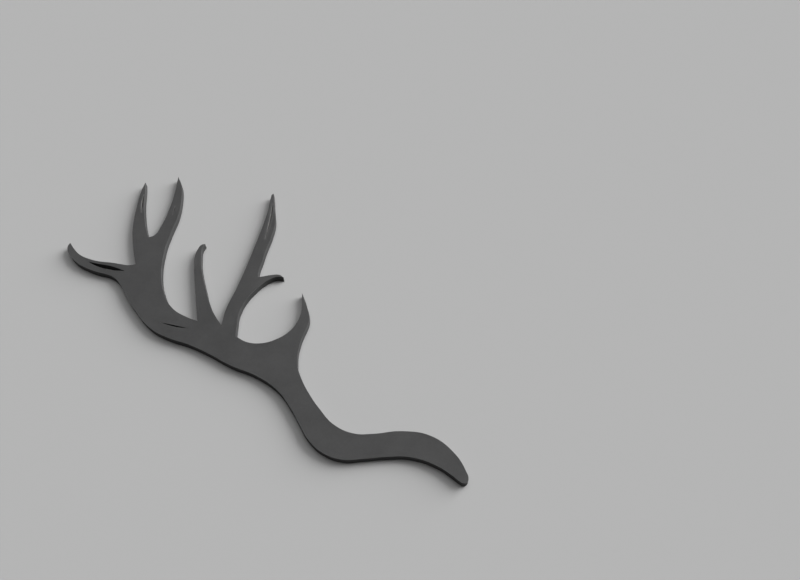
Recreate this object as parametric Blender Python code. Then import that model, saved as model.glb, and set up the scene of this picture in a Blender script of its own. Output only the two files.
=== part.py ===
"""A flat antler lying on its back: a curved beam with seven tines, cut from one even plate.

The outline is one closed Bezier curve, given in millimetres as seen from above, with X to the
right and Y away from the base's near side. The origin is on the underside, at the middle of the
outline's box. Narrow splits pass right through the plate. At each main fork a hairline gap
parts the plate into the beam's stretches and the single tines.
"""

import bmesh
import bpy
from mathutils import Matrix, Vector

MM = 0.001

# Driving dimensions
PLATE_THICKNESS = 10.0 * MM
FORK_GAP = 0.3 * MM
CUTTER_MARGIN = 5.0 * MM
CURVE_STEPS = 4
WELD_DISTANCE = 0.01 * MM

HORN_COLOUR = (0.075, 0.075, 0.076, 1.0)
HORN_ROUGHNESS = 0.7

CORNER = "VECTOR"
SMOOTH = "AUTO"

# Edges of the outline in millimetres, clockwise from the tip of the end tine. Each starts at a
# tip or at the bottom of a fork, which is a corner, and goes on through smooth points. The next
# edge's first point closes it.
EDGES = {
    "end tine, upper edge": [
        (-296.7, 114), (-287, 102), (-273, 89), (-257, 81), (-240, 76), (-221, 73.5),
        (-206, 70.5), (-193, 68.5)],
    "left crown tine, outer edge": [
        (-183, 70), (-199, 113), (-209, 151), (-214, 190), (-216.5, 235)],
    "left crown tine, inner edge": [
        (-215, 252), (-211, 236), (-202.3, 195), (-188, 149)],
    "right crown tine, inner edge": [
        (-178, 125.5), (-170, 129.5), (-163.5, 151), (-159.5, 190), (-159.5, 225)],
    "right crown tine and crown, outer edge": [
        (-162.5, 266), (-152, 244), (-145, 214), (-141.5, 172), (-144.5, 135), (-145.5, 100),
        (-139, 50), (-127, 16), (-108, -12), (-82, -28.5)],
    "middle tine, left edge": [
        (-68, -34), (-79, 8), (-92, 59), (-96.5, 84), (-95, 101), (-91.3, 109.5)],
    "middle tine, right edge": [
        (-85.7, 111.5), (-88.5, 102), (-86.5, 85), (-82.5, 66), (-70, 30), (-54.5, -8), (-44, -26)],
    "tall tine, left edge": [
        (-33, -41), (-31, -12), (-22.5, 24), (-7.5, 110), (1.5, 180), (2.5, 206)],
    "tall tine, blunt tip": [
        (3, 221.5)],
    "tall tine, right edge": [
        (6.2, 224.6), (13, 185), (17.5, 155), (15.5, 127), (10.5, 97), (8, 75), (5.8, 60)],
    "hook, upper edge": [
        (6, 45), (13, 46.5), (24, 49), (37, 49.5)],
    "hook and tall tine, lower edge": [
        (44.3, 44.3), (35, 45.5), (25, 41.5), (5, 20.5), (-6, 0), (-11.3, -22), (-10.8, -42)],
    "round gap, floor and brow tine": [
        (-9.5, -60), (8, -69.5), (29, -71), (48, -64), (64, -51), (73, -35), (77, -14)],
    "brow tine, outer edge": [
        (74.3, 16), (84, -9), (89.5, -31), (87.7, -44), (83.6, -58), (80.3, -74), (79.2, -90)],
    "beam, round the base and along the end tine": [
        (81, -110), (89, -129), (101, -150), (115, -169.5), (134.5, -191), (160, -203),
        (184, -203.5), (220, -200), (256, -206.5), (284, -229.5), (296.3, -252), (298.1, -258.7),
        (296.6, -264), (292.6, -265.9), (286.5, -262.9), (279.3, -256.9),
        (262, -245), (230, -234), (200, -233.5), (172, -236),
        (148, -237), (123, -228), (104.5, -211.5), (91.8, -191.5), (79, -170.5), (59.5, -145),
        (28, -122.5), (-8, -107), (-43, -87.5), (-72, -73.5), (-102, -63), (-129.5, -48),
        (-163, -13.5), (-182.5, 12), (-195, 30.5), (-207, 43), (-220, 50), (-237, 55),
        (-258, 64), (-273, 73), (-290, 90), (-298, 106)],
}

# Narrow splits right through the plate. Each has two pointed ends and a side of smooth points
# from one end to the other and back.
SPLITS = {
    "end_tine_split": [
        [(-256, 75), (-240, 71), (-218, 66)],
        [(-196, 57), (-218, 59), (-242, 67)]],
    "beam_split": [
        [(-119.5, -37), (-98, -41.8)],
        [(-78, -47), (-98, -43.8)]],
    "left_crown_split": [
        [(-210, 222), (-205.5, 200)],
        [(-203, 180), (-208.5, 200)]],
    "right_crown_split": [
        [(-152, 196), (-150.6, 185)],
        [(-151, 174), (-151.6, 185)]],
    "tall_tine_split": [
        [(8, 200), (10, 175)],
        [(6, 122), (7, 155)]],
}

# Where a fork's gap runs, from one point of the outline to another
FORKS = {
    "brow_tine_fork": ((48, -64), (81, -110)),
    "lower_beam_fork": ((81, -110), (28, -122.5)),
    "tall_tine_fork": ((-33, -41), (-9.5, -60)),
    "hook_fork": ((6, 45), (5, 20.5)),
    "middle_tine_fork": ((-68, -34), (-33, -41)),
    "upper_beam_fork": ((-68, -34), (-72, -73.5)),
    "crown_fork": ((-127, 16), (-163, -13.5)),
    "end_tine_fork": ((-183, 70), (-207, 43)),
    "left_crown_fork": ((-178, 125.5), (-209, 151)),
    "right_crown_fork": ((-178, 125.5), (-144.5, 135)),
}

# A point inside each piece, where that piece has its own origin
PIECES = {
    "lower_beam": (250, -225),
    "middle_beam": (10, -90),
    "upper_beam": (-120, -20),
    "crown_beam": (-170, 80),
    "brow_tine": (80, -50),
    "tall_tine": (-8, 40),
    "hook_tine": (25, 45),
    "middle_tine": (-75, 30),
    "end_tine": (-250, 68),
    "left_crown_tine": (-205, 180),
    "right_crown_tine": (-155, 160),
}


def clear_scene():
    for old in list(bpy.data.objects):
        bpy.data.objects.remove(old, do_unlink=True)


def make_collection(name):
    collection = bpy.data.collections.new(name)
    bpy.context.scene.collection.children.link(collection)
    return collection


def horn_material(name):
    """Dull dark horn, one material for each piece."""
    material = bpy.data.materials.new(name)
    material.use_nodes = True
    shader = material.node_tree.nodes["Principled BSDF"]
    shader.inputs["Base Color"].default_value = HORN_COLOUR
    shader.inputs["Roughness"].default_value = HORN_ROUGHNESS
    shader.inputs["Metallic"].default_value = 0.0
    return material


def closed_curve(name, stretches, half_thickness):
    """A filled flat curve: each stretch starts at a corner and goes on through smooth points."""
    points = []
    for stretch in stretches:
        for number, (x, y) in enumerate(stretch):
            points.append((x * MM, y * MM, CORNER if number == 0 else SMOOTH))
    curve = bpy.data.curves.new(name, "CURVE")
    curve.dimensions = "2D"
    curve.fill_mode = "BOTH"
    curve.resolution_u = CURVE_STEPS
    curve.extrude = half_thickness
    spline = curve.splines.new("BEZIER")
    spline.use_cyclic_u = True
    spline.bezier_points.add(len(points) - 1)
    for knot, (x, y, kind) in zip(spline.bezier_points, points):
        knot.co = (x, y, 0.0)
        knot.handle_left_type = kind
        knot.handle_right_type = kind
    return bpy.data.objects.new(name, curve)


def solid_from_curve(curve_object, collection):
    """Turn a filled curve into one welded solid and remove the curve."""
    collection.objects.link(curve_object)
    bpy.context.view_layer.update()
    evaluated = curve_object.evaluated_get(bpy.context.evaluated_depsgraph_get())
    mesh = bpy.data.meshes.new_from_object(evaluated)
    name = curve_object.name
    matrix = curve_object.matrix_world.copy()
    bpy.data.objects.remove(curve_object, do_unlink=True)
    form = bmesh.new()
    form.from_mesh(mesh)
    bmesh.ops.remove_doubles(form, verts=form.verts, dist=WELD_DISTANCE)
    bmesh.ops.recalc_face_normals(form, faces=form.faces)
    form.to_mesh(mesh)
    form.free()
    solid = bpy.data.objects.new(name, mesh)
    solid.matrix_world = matrix
    collection.objects.link(solid)
    return solid


def plate(collection):
    """The whole antler as one even plate, its underside at height 0."""
    outline = closed_curve("whole_antler", EDGES.values(), PLATE_THICKNESS / 2)
    outline.location.z = PLATE_THICKNESS / 2
    return solid_from_curve(outline, collection)


def as_cutter(cutter):
    cutter.hide_render = True
    cutter.display_type = "WIRE"
    return cutter


def split_cutter(name, sides, collection):
    """A lens-shaped prism, taller than the plate."""
    lens = closed_curve(name, sides, PLATE_THICKNESS / 2 + CUTTER_MARGIN)
    lens.location.z = PLATE_THICKNESS / 2
    return as_cutter(solid_from_curve(lens, collection))


def fork_cutter(name, ends, collection):
    """A thin upright sheet that crosses the plate and ends just past its edge."""
    start, end = (Vector((x, y, 0.0)) * MM for x, y in ends)
    along = end - start
    length = along.length + 2 * FORK_GAP
    height = PLATE_THICKNESS + 2 * CUTTER_MARGIN
    form = bmesh.new()
    bmesh.ops.create_cube(form, size=1.0)
    bmesh.ops.scale(form, verts=form.verts, vec=(length, FORK_GAP, height))
    mesh = bpy.data.meshes.new(name)
    form.to_mesh(mesh)
    form.free()
    sheet = bpy.data.objects.new(name, mesh)
    sheet.location = (start + end) / 2 + Vector((0.0, 0.0, PLATE_THICKNESS / 2))
    sheet.rotation_euler.z = Vector((1.0, 0.0)).angle_signed(along.xy) * -1.0
    collection.objects.link(sheet)
    return as_cutter(sheet)


def cut(solid, cutters):
    for cutter in cutters:
        modifier = solid.modifiers.new(cutter.name, "BOOLEAN")
        modifier.operation = "DIFFERENCE"
        modifier.solver = "EXACT"
        modifier.object = cutter


def islands(form):
    """The separate bodies of a mesh, each as a list of its faces."""
    left = set(form.faces)
    while left:
        first = left.pop()
        body = [first]
        for face in body:
            for edge in face.edges:
                for neighbour in edge.link_faces:
                    if neighbour in left:
                        left.remove(neighbour)
                        body.append(neighbour)
        yield body


def holds(body, x, y):
    """True where the body's underside lies below the point."""
    point = Vector((x * MM, y * MM, 0.0))
    for face in body:
        if face.normal.z < -0.5 and bmesh.geometry.intersect_face_point(face, point):
            return True
    return False


def part_pieces(solid, parent, collection):
    """Give each separate body of the cut plate its own named object, seated on its own point."""
    bpy.context.view_layer.update()
    evaluated = solid.evaluated_get(bpy.context.evaluated_depsgraph_get())
    mesh = bpy.data.meshes.new_from_object(evaluated)
    whole = bmesh.new()
    whole.from_mesh(mesh)
    whole.transform(solid.matrix_world)
    bmesh.ops.triangulate(whole, faces=whole.faces)
    bodies = list(islands(whole))
    for name, (x, y) in PIECES.items():
        keep = next(set(body) for body in bodies if holds(body, x, y))
        keep_indices = {face.index for face in keep}
        form = whole.copy()
        form.faces.ensure_lookup_table()
        others = [face for face in form.faces if face.index not in keep_indices]
        bmesh.ops.delete(form, geom=others, context="FACES")
        seat = Vector((x, y, 0.0)) * MM
        form.transform(Matrix.Translation(-seat))
        piece_mesh = bpy.data.meshes.new(name)
        form.to_mesh(piece_mesh)
        form.free()
        piece = bpy.data.objects.new(name, piece_mesh)
        piece.location = seat
        piece.parent = parent
        piece_mesh.materials.append(horn_material(name))
        collection.objects.link(piece)
    whole.free()
    bpy.data.meshes.remove(mesh)


def main():
    clear_scene()
    antler = make_collection("antler")
    cutters = make_collection("cutters")
    root = bpy.data.objects.new("antler_root", None)
    antler.objects.link(root)
    solid = plate(antler)
    splits = [split_cutter(name, sides, cutters) for name, sides in SPLITS.items()]
    forks = [fork_cutter(name, ends, cutters) for name, ends in FORKS.items()]
    cut(solid, splits + forks)
    part_pieces(solid, root, antler)
    bpy.data.objects.remove(solid, do_unlink=True)


main()
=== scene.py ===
"""The looks of a flat dark antler that lies on a pale floor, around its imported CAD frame.

The frame's pieces meet at hairline gaps. One antler without gaps is shown in their place, cut to
the same outline, with slightly rounded edges and a dull horn finish whose grain follows the edges.
"""

import math

import bmesh
import bpy
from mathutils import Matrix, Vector
from mathutils.bvhtree import BVHTree


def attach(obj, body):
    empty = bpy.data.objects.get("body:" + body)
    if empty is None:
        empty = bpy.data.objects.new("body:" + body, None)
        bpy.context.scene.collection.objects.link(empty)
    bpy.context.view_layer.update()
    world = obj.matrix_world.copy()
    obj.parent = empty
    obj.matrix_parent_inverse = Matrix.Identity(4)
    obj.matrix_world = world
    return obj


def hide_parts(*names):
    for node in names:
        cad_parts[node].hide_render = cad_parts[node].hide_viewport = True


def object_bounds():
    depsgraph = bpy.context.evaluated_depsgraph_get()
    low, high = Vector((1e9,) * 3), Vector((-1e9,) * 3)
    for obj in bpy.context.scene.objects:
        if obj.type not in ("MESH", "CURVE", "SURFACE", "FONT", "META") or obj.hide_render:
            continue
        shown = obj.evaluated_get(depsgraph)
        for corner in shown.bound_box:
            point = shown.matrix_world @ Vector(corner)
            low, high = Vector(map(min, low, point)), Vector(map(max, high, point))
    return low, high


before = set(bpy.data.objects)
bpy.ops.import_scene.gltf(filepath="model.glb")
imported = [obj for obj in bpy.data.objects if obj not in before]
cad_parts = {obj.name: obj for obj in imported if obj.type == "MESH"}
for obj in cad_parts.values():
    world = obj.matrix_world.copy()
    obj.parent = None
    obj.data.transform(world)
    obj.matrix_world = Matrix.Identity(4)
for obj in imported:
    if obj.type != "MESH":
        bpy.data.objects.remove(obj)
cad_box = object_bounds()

MM = 0.001

# The plate's mesh
EDGE_ROUNDING = 0.35 * MM
ROUNDING_STEPS = 3
CURVE_STEPS = 10
CELL = 3.0 * MM
WALL_ROWS = (0.1, 0.3, 0.5, 0.7, 0.9)
WELD_DISTANCE = 0.01 * MM
CORNER_ANGLE = math.radians(28)
FLAT_ANGLE = math.radians(1)

# How upright a normal is: at least the first on the two flat faces, at most the second on a wall
CAP_UPRIGHT = 0.999
WALL_UPRIGHT = 0.001

# The photograph's view
CAMERA_PLACE = (0.2173, -0.5164, 0.7044)
CAMERA_TILT = math.radians(37.72)
CAMERA_LENS_MM = 27.0
SENSOR_WIDTH_MM = 36.0

# The floor and the room
FLOOR_HALF_WIDTH = 60.0
FLOOR_DROP = 0.05 * MM
FLOOR_COLOUR = (0.355, 0.355, 0.355, 1.0)
FLOOR_ROUGHNESS = 0.9
ROOM_COLOUR = (1.0, 1.0, 1.0, 1.0)
HORIZON_BRIGHTNESS = 0.47
ROOM_BRIGHTNESS = 0.012
HAZE_HEIGHT = 0.32
VIEW_TRANSFORM = "Standard"

# The lights, with their angles in degrees. Azimuth 0 is +X and 90 is +Y.
KEY_LIGHT = {"azimuth": 31.0, "elevation": 26.0, "spread": 50.0, "strength": 6.0}
TOP_LIGHT = {"azimuth": 85.0, "elevation": 76.0, "spread": 60.0, "strength": 1.4}

# Horn
HORN_DARK = (0.037, 0.037, 0.0373, 1.0)
HORN_LIGHT = (0.055, 0.055, 0.0553, 1.0)
# Paler worn horn, also painted light at the tips
HORN_WORN_AND_LIT = (0.100, 0.099, 0.098, 1.0)
# The pale core of the horn, also painted light on the walls of the pale splits
CORE_AND_LIGHT_COLOUR = (0.54, 0.533, 0.525, 1.0)
HORN_SHEEN = 0.15
STREAK_SHARE = 0.5
WEAR_AND_TIP_LIGHT_SHARE = 0.5
PORE_SHARE = 0.25
FINE_MOTTLE_SHARE = 0.4
NOISE_MIDDLE = 0.5
NOISE_RANGE = (0.3, 0.7)
WEAR_NOISE_RANGE = (0.35, 0.7)
ROUGHNESS_RANGE = (0.62, 0.74)
RUBBED_POLISH = 0.12
GRAIN_DEPTH = 0.12 * MM

# The kinds of handle at a point of an outline
CORNER = "VECTOR"
SMOOTH = "AUTO"

# Edges of the outline in millimetres, clockwise from the tip of the end tine. Each starts at a
# tip or at the bottom of a fork, which is a corner, and goes on through smooth points. The next
# edge's first point closes it.
EDGES = {
    "end tine, upper edge": [
        (-296.7, 114), (-287, 102), (-273, 89), (-257, 81), (-240, 76), (-221, 73.5),
        (-206, 70.5), (-193, 68.5)],
    "left crown tine, outer edge": [
        (-183, 70), (-199, 113), (-209, 151), (-214, 190), (-216.5, 235)],
    "left crown tine, inner edge": [
        (-215, 252), (-211, 236), (-202.3, 195), (-188, 149)],
    "right crown tine, inner edge": [
        (-178, 125.5), (-170, 129.5), (-163.5, 151), (-159.5, 190), (-159.5, 225)],
    "right crown tine and crown, outer edge": [
        (-162.5, 266), (-152, 244), (-145, 214), (-141.5, 172), (-144.5, 135), (-145.5, 100),
        (-139, 50), (-127, 16), (-108, -12), (-82, -28.5)],
    "middle tine, left edge": [
        (-68, -34), (-79, 8), (-92, 59), (-96.5, 84), (-95, 101), (-91.3, 109.5)],
    "middle tine, right edge": [
        (-85.7, 111.5), (-88.5, 102), (-86.5, 85), (-82.5, 66), (-70, 30), (-54.5, -8), (-44, -26)],
    "tall tine, left edge": [
        (-33, -41), (-31, -12), (-22.5, 24), (-7.5, 110), (1.5, 180), (2.5, 206)],
    "tall tine, blunt tip": [
        (3, 221.5)],
    "tall tine, right edge": [
        (6.2, 224.6), (13, 185), (17.5, 155), (15.5, 127), (10.5, 97), (8, 75), (5.8, 60)],
    "hook, upper edge": [
        (6, 45), (13, 46.5), (24, 49), (37, 49.5)],
    "hook and tall tine, lower edge": [
        (44.3, 44.3), (35, 45.5), (25, 41.5), (5, 20.5), (-6, 0), (-11.3, -22), (-10.8, -42)],
    "round gap, floor and brow tine": [
        (-9.5, -60), (8, -69.5), (29, -71), (48, -64), (64, -51), (73, -35), (77, -14)],
    "brow tine, outer edge": [
        (74.3, 16), (84, -9), (89.5, -31), (87.7, -44), (83.6, -58), (80.3, -74), (79.2, -90)],
    "beam, round the base and along the end tine": [
        (81, -110), (89, -129), (101, -150), (115, -169.5), (134.5, -191), (160, -203),
        (184, -203.5), (220, -200), (256, -206.5), (284, -229.5), (296.3, -252), (298.1, -258.7),
        (296.6, -264), (292.6, -265.9), (286.5, -262.9), (279.3, -256.9),
        (262, -245), (230, -234), (200, -233.5), (172, -236),
        (148, -237), (123, -228), (104.5, -211.5), (91.8, -191.5), (79, -170.5), (59.5, -145),
        (28, -122.5), (-8, -107), (-43, -87.5), (-72, -73.5), (-102, -63), (-129.5, -48),
        (-163, -13.5), (-182.5, 12), (-195, 30.5), (-207, 43), (-220, 50), (-237, 55),
        (-258, 64), (-273, 73), (-290, 90), (-298, 106)],
}

# Narrow splits right through the plate, in millimetres. Each has two pointed ends, and a side of
# smooth points from one end to the other and back.
SPLITS = {
    "end_tine_split": [
        [(-256, 75), (-240, 71), (-218, 66)],
        [(-196, 57), (-218, 59), (-242, 67)]],
    "beam_split": [
        [(-119.5, -37), (-98, -41.8)],
        [(-78, -47), (-98, -43.8)]],
    "left_crown_split": [
        [(-210, 222), (-205.5, 200)],
        [(-203, 180), (-208.5, 200)]],
    "right_crown_split": [
        [(-152, 196), (-150.6, 185)],
        [(-151, 174), (-151.6, 185)]],
    "tall_tine_split": [
        [(8, 200), (10, 175)],
        [(6, 122), (7, 155)]],
}

# How far each split lays the pale core of the horn bare, with painted light that makes its walls
# paler deeper in, where the key light doesn't reach. The others are dark inside.
PAINTED_LIGHT_SPLITS = {"left_crown_split": 0.7, "right_crown_split": 0.3, "tall_tine_split": 1.0}
CORE_AND_LIGHT_BLEND = 0.4 * MM
CORE_AND_LIGHT_DEPTH = 3.0 * MM
CORE_AND_LIGHT_AT_RIM = 0.1
CORE_AND_LIGHT_FALLOFF = 1.5

# A faint pale band of painted light beside those splits
LIGHT_BAND_REACH = 4.0 * MM
LIGHT_BAND_SHARE = 0.04

# The pointed ends in millimetres, which are rubbed smooth and a little paler, from wear and as
# painted light
TIPS = {
    "end tine": (-297, 113),
    "left crown tine": (-215, 252),
    "right crown tine": (-162.5, 266),
    "middle tine": (-86, 111),
    "tall tine": (4.5, 223),
    "hook": (44.3, 44.3),
    "brow tine": (74.3, 16),
}
TIP_REACH = 60.0 * MM


def add_spline(curve, stretches):
    """One closed outline: each stretch starts at a corner and goes on through smooth points."""
    points = []
    for stretch in stretches:
        for number, (x, y) in enumerate(stretch):
            points.append((x * MM, y * MM, CORNER if number == 0 else SMOOTH))
    spline = curve.splines.new("BEZIER")
    spline.use_cyclic_u = True
    spline.bezier_points.add(len(points) - 1)
    for knot, (x, y, kind) in zip(spline.bezier_points, points):
        knot.co = (x, y, 0.0)
        knot.handle_left_type = kind
        knot.handle_right_type = kind


def flat_plate(outlines, thickness):
    """Closed outlines, filled and extruded, welded into a bmesh. One inside another is a hole."""
    curve = bpy.data.curves.new("outline", "CURVE")
    curve.dimensions = "2D"
    curve.fill_mode = "BOTH"
    curve.resolution_u = CURVE_STEPS
    curve.extrude = thickness / 2
    for stretches in outlines:
        add_spline(curve, stretches)
    outline = bpy.data.objects.new("outline", curve)
    bpy.context.scene.collection.objects.link(outline)
    bpy.context.view_layer.update()
    evaluated = outline.evaluated_get(bpy.context.evaluated_depsgraph_get())
    mesh = bpy.data.meshes.new_from_object(evaluated)
    bpy.data.objects.remove(outline, do_unlink=True)
    plate = bmesh.new()
    plate.from_mesh(mesh)
    bpy.data.meshes.remove(mesh)
    bmesh.ops.remove_doubles(plate, verts=plate.verts, dist=WELD_DISTANCE)
    bmesh.ops.recalc_face_normals(plate, faces=plate.faces)
    bmesh.ops.translate(plate, verts=plate.verts, vec=(0.0, 0.0, thickness / 2))
    return plate


def is_cap(face):
    return abs(face.normal.z) > CAP_UPRIGHT


def is_wall(face):
    return abs(face.normal.z) < WALL_UPRIGHT


def walls_only(plate):
    """A search tree of the upright walls, to measure how far a point lies from the edge."""
    walls = plate.copy()
    caps = [face for face in walls.faces if is_cap(face)]
    bmesh.ops.delete(walls, geom=caps, context="FACES_ONLY")
    tree = BVHTree.FromBMesh(walls)
    walls.free()
    return tree


def open_caps(plate):
    """Join the fill's thin triangles on both faces into a few large faces."""
    inside = [edge for edge in plate.edges if all(is_cap(face) for face in edge.link_faces)]
    bmesh.ops.dissolve_limit(
        plate, angle_limit=FLAT_ANGLE, edges=inside, verts=[], delimit=set())


def round_edges(plate):
    """A small rounding on every rim and on the upright edges at the tips."""
    sharp = [edge for edge in plate.edges if edge.calc_face_angle(0.0) > CORNER_ANGLE]
    bmesh.ops.bevel(
        plate, geom=sharp, offset=EDGE_ROUNDING, offset_type="OFFSET", affect="EDGES",
        segments=ROUNDING_STEPS, profile=0.5, material=-1, miter_outer="ARC",
        clamp_overlap=False)


def slice_faces(plate, faces, normal, places):
    """Cut the faces along every place on the normal, halving them to keep each cut small."""
    if not places or not faces:
        return
    middle = len(places) // 2
    place = places[middle]
    points = {point for face in faces for point in face.verts}
    edges = {edge for face in faces for edge in face.edges}
    cut = bmesh.ops.bisect_plane(
        plate, geom=[*points, *edges, *faces], dist=WELD_DISTANCE,
        plane_co=normal * place, plane_no=normal)
    pieces = [item for item in cut["geom"] if isinstance(item, bmesh.types.BMFace)]
    before = [face for face in pieces if face.calc_center_median().dot(normal) < place]
    after = [face for face in pieces if face.calc_center_median().dot(normal) >= place]
    slice_faces(plate, before, normal, places[:middle])
    slice_faces(plate, after, normal, places[middle + 1:])


def steps_between(start, stop, step):
    """Places a step apart, from half a step after the start."""
    count = int((stop - start) / step)
    return [start + step * (number + 0.5) for number in range(count)]


def cut_cells(plate, low, high):
    """Cut both faces into small cells and the walls into rows, to hold the surface's marks."""
    directions = [(Vector((1, 0, 0)), low.x, high.x), (Vector((0, 1, 0)), low.y, high.y)]
    for normal, start, stop in directions:
        caps = [face for face in plate.faces if is_cap(face)]
        slice_faces(plate, caps, normal, steps_between(start, stop, CELL))
    sides = [face for face in plate.faces if is_wall(face)]
    heights = [share * (high.z - low.z) for share in WALL_ROWS]
    slice_faces(plate, sides, Vector((0, 0, 1)), heights)
    bmesh.ops.remove_doubles(plate, verts=plate.verts, dist=WELD_DISTANCE)


def shape_antler(low, high):
    """The whole antler as one closed mesh, and the search tree of its walls."""
    plate = flat_plate([EDGES.values(), *SPLITS.values()], high.z - low.z)
    walls = walls_only(plate)
    open_caps(plate)
    round_edges(plate)
    cut_cells(plate, low, high)
    return plate, walls


def split_walls(name, thickness):
    """A search tree of the walls inside one split."""
    prism = flat_plate([SPLITS[name]], thickness)
    tree = walls_only(prism)
    prism.free()
    return tree


def distance_to(tree, place):
    """How far a place lies from the nearest face of a search tree."""
    location, normal, number, distance = tree.find_nearest(place)
    return distance


def core_and_light_paling(level, depth, pale_walls):
    """How pale a split wall is: the pale core with painted light, only on the walls of a pale
    split, least at their rims and paler deeper in, where shade falls.
    """
    reached = [
        share * (1.0 - distance_to(tree, level) / CORE_AND_LIGHT_BLEND) for tree, share in pale_walls]
    # Painted light: deeper in, where the key light doesn't reach, the split wall is painted paler
    below_rim = min(1.0, depth / CORE_AND_LIGHT_DEPTH) ** CORE_AND_LIGHT_FALLOFF
    paling = CORE_AND_LIGHT_AT_RIM + (1.0 - CORE_AND_LIGHT_AT_RIM) * below_rim
    return max(0.0, max(reached) * paling)


def split_distance(level, pale_walls):
    """How far the nearest pale split lies. A less pale one counts as farther away."""
    return min(distance_to(tree, level) / share for tree, share in pale_walls)


def tip_nearness(place, tips):
    """1 at a tip, falling to 0 at the end of its reach."""
    nearest = min((place.xy - tip).length for tip in tips)
    return max(0.0, 1.0 - nearest / TIP_REACH)


def store_mark(mesh, name, values):
    """Keep a number for each point of the mesh, for the materials."""
    mesh.attributes.new(name, "FLOAT", "POINT").data.foreach_set("value", values)


def mark_surface(mesh, walls, thickness):
    """Mark how far each point lies from an edge, a tip and a split, and how much pale core and
    painted light it shows.
    """
    tips = [Vector(tip) * MM for tip in TIPS.values()]
    pale_walls = [(split_walls(name, thickness), share) for name, share in PAINTED_LIGHT_SPLITS.items()]
    edge_distances = []
    tip_marks = []
    core_and_light_marks = []
    split_distances = []
    for point in mesh.vertices:
        level = Vector((point.co.x, point.co.y, thickness / 2))
        depth = min(point.co.z, thickness - point.co.z)
        edge_distances.append(max(distance_to(walls, level), depth))
        tip_marks.append(tip_nearness(point.co, tips))
        core_and_light_marks.append(core_and_light_paling(level, depth, pale_walls))
        split_distances.append(split_distance(level, pale_walls))
    store_mark(mesh, "edge_distance", edge_distances)
    store_mark(mesh, "tip", tip_marks)
    store_mark(mesh, "pale_core_and_light", core_and_light_marks)
    store_mark(mesh, "split_distance", split_distances)


def shade_softly(mesh):
    """Both faces stay flat, and the rounded edges and the walls are shaded smooth."""
    for face in mesh.polygons:
        face.use_smooth = not is_cap(face)


def feed(tree, socket, value):
    """Give a socket a value, or link an output to it."""
    if isinstance(value, bpy.types.NodeSocket):
        tree.links.new(value, socket)
    else:
        socket.default_value = value


def add_node(tree, kind, settings=None, **inputs):
    """A node with its settings, and its inputs by name, each a value or an output."""
    made = tree.nodes.new(kind)
    for name, value in (settings or {}).items():
        setattr(made, name, value)
    for name, value in inputs.items():
        feed(tree, made.inputs[name.replace("_", " ")], value)
    return made


def calculate(tree, operation, *values):
    """A Math node, for two or three values or outputs."""
    made = add_node(tree, "ShaderNodeMath", {"operation": operation})
    for socket, value in zip(made.inputs, values):
        feed(tree, socket, value)
    return made.outputs[0]


def remap(tree, value, given_range, wanted_range):
    """Move a value smoothly from one range to another, held within its ends."""
    made = add_node(tree, "ShaderNodeMapRange", {"interpolation_type": "SMOOTHSTEP"})
    for socket, item in zip(made.inputs, (value, *given_range, *wanted_range)):
        feed(tree, socket, item)
    return made.outputs[0]


def noise(tree, place, scale, detail, roughness, distortion=0.0):
    """Soft noise, most of it about its middle."""
    made = add_node(
        tree, "ShaderNodeTexNoise", Vector=place, Scale=scale, Detail=detail,
        Roughness=roughness, Distortion=distortion)
    return made.outputs["Fac"]


def centred(tree, value):
    """Noise moved to lie about zero."""
    return calculate(tree, "SUBTRACT", value, NOISE_MIDDLE)


def blend_colour(tree, share, first, second):
    """A mix of two colours, each a value or an output."""
    made = add_node(tree, "ShaderNodeMix", {"data_type": "RGBA"})
    ends = {"Factor_Float": share, "A_Color": first, "B_Color": second}
    for socket in made.inputs:
        if socket.identifier in ends:
            feed(tree, socket, ends[socket.identifier])
    return next(socket for socket in made.outputs if socket.identifier == "Result_Color")


def attribute(tree, name):
    return add_node(tree, "ShaderNodeAttribute", {"attribute_name": name}).outputs["Fac"]


def object_place(tree):
    return tree.nodes.new("ShaderNodeTexCoord").outputs["Object"]


def new_group(name, inputs, output):
    """A shader node group with named number inputs, with their defaults, and one number output."""
    group = bpy.data.node_groups.new(name, "ShaderNodeTree")
    for label, default in inputs.items():
        socket = group.interface.new_socket(label, in_out="INPUT", socket_type="NodeSocketFloat")
        socket.default_value = default
    group.interface.new_socket(output, in_out="OUTPUT", socket_type="NodeSocketFloat")
    given = group.nodes.new("NodeGroupInput").outputs
    result = group.nodes.new("NodeGroupOutput").inputs[output]
    return group, given, result


def use_group(tree, group):
    made = tree.nodes.new("ShaderNodeGroup")
    made.node_tree = group
    return made.outputs[0]


def grain_group():
    """Fine streaks that follow the edges, and fade out towards the middle of the beam."""
    inputs = {
        "Along": 45.0, "Across": 1100.0, "Bends": 22.0, "Waver": 0.004, "Fade": 0.012,
        "Middle": 0.15}
    group, given, result = new_group("lengthwise grain", inputs, "Streaks")
    place = object_place(group)
    split = add_node(group, "ShaderNodeSeparateXYZ", Vector=place).outputs
    drift = centred(group, noise(group, place, given["Bends"], detail=3.0, roughness=0.6))
    inward = attribute(group, "edge_distance")
    depth = calculate(group, "MULTIPLY_ADD", drift, given["Waver"], inward)
    flow = add_node(
        group, "ShaderNodeCombineXYZ",
        X=calculate(group, "MULTIPLY", split["X"], given["Along"]),
        Y=calculate(group, "MULTIPLY", split["Y"], given["Along"]),
        Z=calculate(group, "MULTIPLY", depth, given["Across"])).outputs[0]
    lines = centred(group, noise(group, flow, scale=1.0, detail=4.0, roughness=0.6))
    shown = remap(group, inward, (0.0, given["Fade"]), (1.0, given["Middle"]))
    feed(group, result, calculate(group, "MULTIPLY_ADD", lines, shown, NOISE_MIDDLE))
    return group


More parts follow.
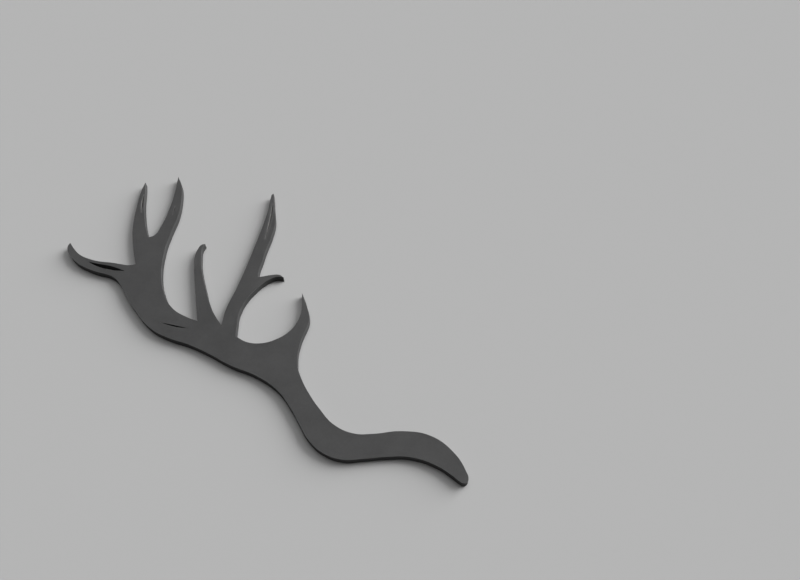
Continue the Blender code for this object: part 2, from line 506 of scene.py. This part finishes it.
def mottle_group():
    """Broad soft patches with a finer cloud in them."""
    group, given, result = new_group("soft mottle", {"Patch": 25.0, "Cloud": 240.0}, "Mottle")
    place = object_place(group)
    broad = noise(group, place, given["Patch"], detail=2.0, roughness=0.5, distortion=0.3)
    fine = noise(group, place, given["Cloud"], detail=4.0, roughness=0.65)
    patches = calculate(group, "MULTIPLY", broad, 1.0 - FINE_MOTTLE_SHARE)
    feed(group, result, calculate(group, "MULTIPLY_ADD", fine, FINE_MOTTLE_SHARE, patches))
    return group


def wear_and_tip_light_group():
    """A broken line of rubbed horn along every edge, and tips paler from wear and from painted
    light.
    """
    inputs = {"Width": 0.0009, "Tip wear and light": 0.25, "Patch": 55.0, "Least": 0.15}
    group, given, result = new_group("rubbed edges and lit tips", inputs, "Wear and tip light")
    cloud = noise(group, object_place(group), given["Patch"], detail=3.0, roughness=0.6)
    patches = remap(group, cloud, WEAR_NOISE_RANGE, (given["Least"], 1.0))
    rim = remap(group, attribute(group, "edge_distance"), (0.0, given["Width"]), (1.0, 0.0))
    # Painted light: the tips are painted paler, partly as wear
    tips = calculate(group, "MULTIPLY", attribute(group, "tip"), given["Tip wear and light"])
    edges = calculate(group, "MULTIPLY", rim, patches)
    feed(group, result, calculate(group, "MAXIMUM", edges, tips))
    return group


def pore_group():
    """Tiny scattered pits, finer than a millimetre."""
    inputs = {"Density": 1100.0, "Centre": 0.05, "Rim": 0.35}
    group, given, result = new_group("fine pores", inputs, "Pits")
    cells = add_node(
        group, "ShaderNodeTexVoronoi", Vector=object_place(group), Scale=given["Density"],
        Randomness=1.0)
    pit = (given["Centre"], given["Rim"])
    feed(group, result, remap(group, cells.outputs["Distance"], pit, (0.0, 1.0)))
    return group


def horn_material():
    """Dull charcoal horn: fine lengthwise grain, soft patches, rubbed edges and tiny pits, with
    painted light at the tips and in and beside the pale splits.
    """
    material = bpy.data.materials.new("horn")
    material.use_nodes = True
    tree = material.node_tree
    shader = tree.nodes["Principled BSDF"].inputs
    shader["Specular IOR Level"].default_value = HORN_SHEEN

    streaks = use_group(tree, grain_group())
    mottle = use_group(tree, mottle_group())
    wear_and_tip_light = use_group(tree, wear_and_tip_light_group())
    pits = use_group(tree, pore_group())

    clouds = calculate(tree, "MULTIPLY", mottle, 1.0 - STREAK_SHARE)
    tone = calculate(tree, "MULTIPLY_ADD", streaks, STREAK_SHARE, clouds)
    body = blend_colour(tree, remap(tree, tone, NOISE_RANGE, (0.0, 1.0)), HORN_DARK, HORN_LIGHT)
    # Paler at the worn edges, and at the tips also as painted light
    worn_and_lit = blend_colour(tree, calculate(tree, "MULTIPLY", wear_and_tip_light, WEAR_AND_TIP_LIGHT_SHARE), body, HORN_WORN_AND_LIT)
    from_split = attribute(tree, "split_distance")
    # Painted light: a faint pale band beside the pale splits
    painted_light_band = remap(tree, from_split, (0.0, LIGHT_BAND_REACH), (LIGHT_BAND_SHARE, 0.0))
    # Painted light: the pale core inside the pale splits makes their walls paler deeper in
    core_and_light_share = calculate(tree, "MAXIMUM", attribute(tree, "pale_core_and_light"), painted_light_band)
    with_core_and_light = blend_colour(tree, core_and_light_share, worn_and_lit, CORE_AND_LIGHT_COLOUR)
    feed(tree, shader["Base Color"], with_core_and_light)

    dull = remap(tree, streaks, NOISE_RANGE, ROUGHNESS_RANGE)
    polished = calculate(tree, "MULTIPLY_ADD", wear_and_tip_light, -RUBBED_POLISH, dull)
    feed(tree, shader["Roughness"], polished)

    relief = calculate(tree, "MULTIPLY_ADD", pits, PORE_SHARE, streaks)
    bump = add_node(tree, "ShaderNodeBump", Strength=1.0, Distance=GRAIN_DEPTH, Height=relief)
    feed(tree, shader["Normal"], bump.outputs["Normal"])
    return material


def floor_material():
    """Plain pale matt floor."""
    material = bpy.data.materials.new("pale_floor")
    material.use_nodes = True
    shader = material.node_tree.nodes["Principled BSDF"].inputs
    shader["Base Color"].default_value = FLOOR_COLOUR
    shader["Roughness"].default_value = FLOOR_ROUGHNESS
    shader["Specular IOR Level"].default_value = 0.0
    return material


def lay_floor():
    """A sheet that reaches to the horizon, just under the antler."""
    sheet = bmesh.new()
    bmesh.ops.create_grid(sheet, x_segments=1, y_segments=1, size=FLOOR_HALF_WIDTH)
    bmesh.ops.translate(sheet, verts=sheet.verts, vec=(0.0, 0.0, -FLOOR_DROP))
    mesh = bpy.data.meshes.new("floor")
    sheet.to_mesh(mesh)
    sheet.free()
    mesh.materials.append(floor_material())
    floor = bpy.data.objects.new("floor", mesh)
    bpy.context.scene.collection.objects.link(floor)


def light_room():
    """A dim room, paler near the horizon where it meets the floor."""
    world = bpy.data.worlds.new("room")
    world.use_nodes = True
    tree = world.node_tree
    way = tree.nodes.new("ShaderNodeTexCoord").outputs["Generated"]
    height = add_node(tree, "ShaderNodeSeparateXYZ", Vector=way).outputs["Z"]
    bright = remap(tree, height, (0.0, HAZE_HEIGHT), (HORIZON_BRIGHTNESS, ROOM_BRIGHTNESS))
    background = tree.nodes["Background"].inputs
    background["Color"].default_value = ROOM_COLOUR
    feed(tree, background["Strength"], bright)
    bpy.context.scene.world = world
    bpy.context.scene.view_settings.view_transform = VIEW_TRANSFORM


def hang_light(name, azimuth, elevation, spread, strength):
    """Even soft light from one side."""
    turn = math.radians(azimuth)
    rise = math.radians(elevation)
    way = Vector((math.cos(rise) * math.cos(turn), math.cos(rise) * math.sin(turn), math.sin(rise)))
    lamp = bpy.data.lights.new(name, "SUN")
    lamp.angle = math.radians(spread)
    lamp.energy = strength
    light = bpy.data.objects.new(name, lamp)
    light.rotation_euler = way.to_track_quat("Z", "Y").to_euler()
    bpy.context.scene.collection.objects.link(light)


def place_camera():
    lens = bpy.data.cameras.new("camera")
    lens.lens = CAMERA_LENS_MM
    lens.sensor_width = SENSOR_WIDTH_MM
    camera = bpy.data.objects.new("camera", lens)
    camera.location = CAMERA_PLACE
    camera.rotation_euler = (CAMERA_TILT, 0.0, 0.0)
    bpy.context.scene.collection.objects.link(camera)
    bpy.context.scene.camera = camera


def make_antler():
    """The antler in place of the frame's pieces, riding on the part's one body."""
    low, high = (Vector(corner) for corner in cad_box)
    plate, walls = shape_antler(low, high)
    mesh = bpy.data.meshes.new("antler")
    plate.to_mesh(mesh)
    plate.free()
    shade_softly(mesh)
    mark_surface(mesh, walls, high.z)
    mesh.materials.append(horn_material())
    antler = bpy.data.objects.new("antler", mesh)
    bpy.context.scene.collection.objects.link(antler)
    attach(antler, "root")
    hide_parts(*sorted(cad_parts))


make_antler()
lay_floor()
light_room()
hang_light("key", **KEY_LIGHT)
hang_light("top", **TOP_LIGHT)
place_camera()
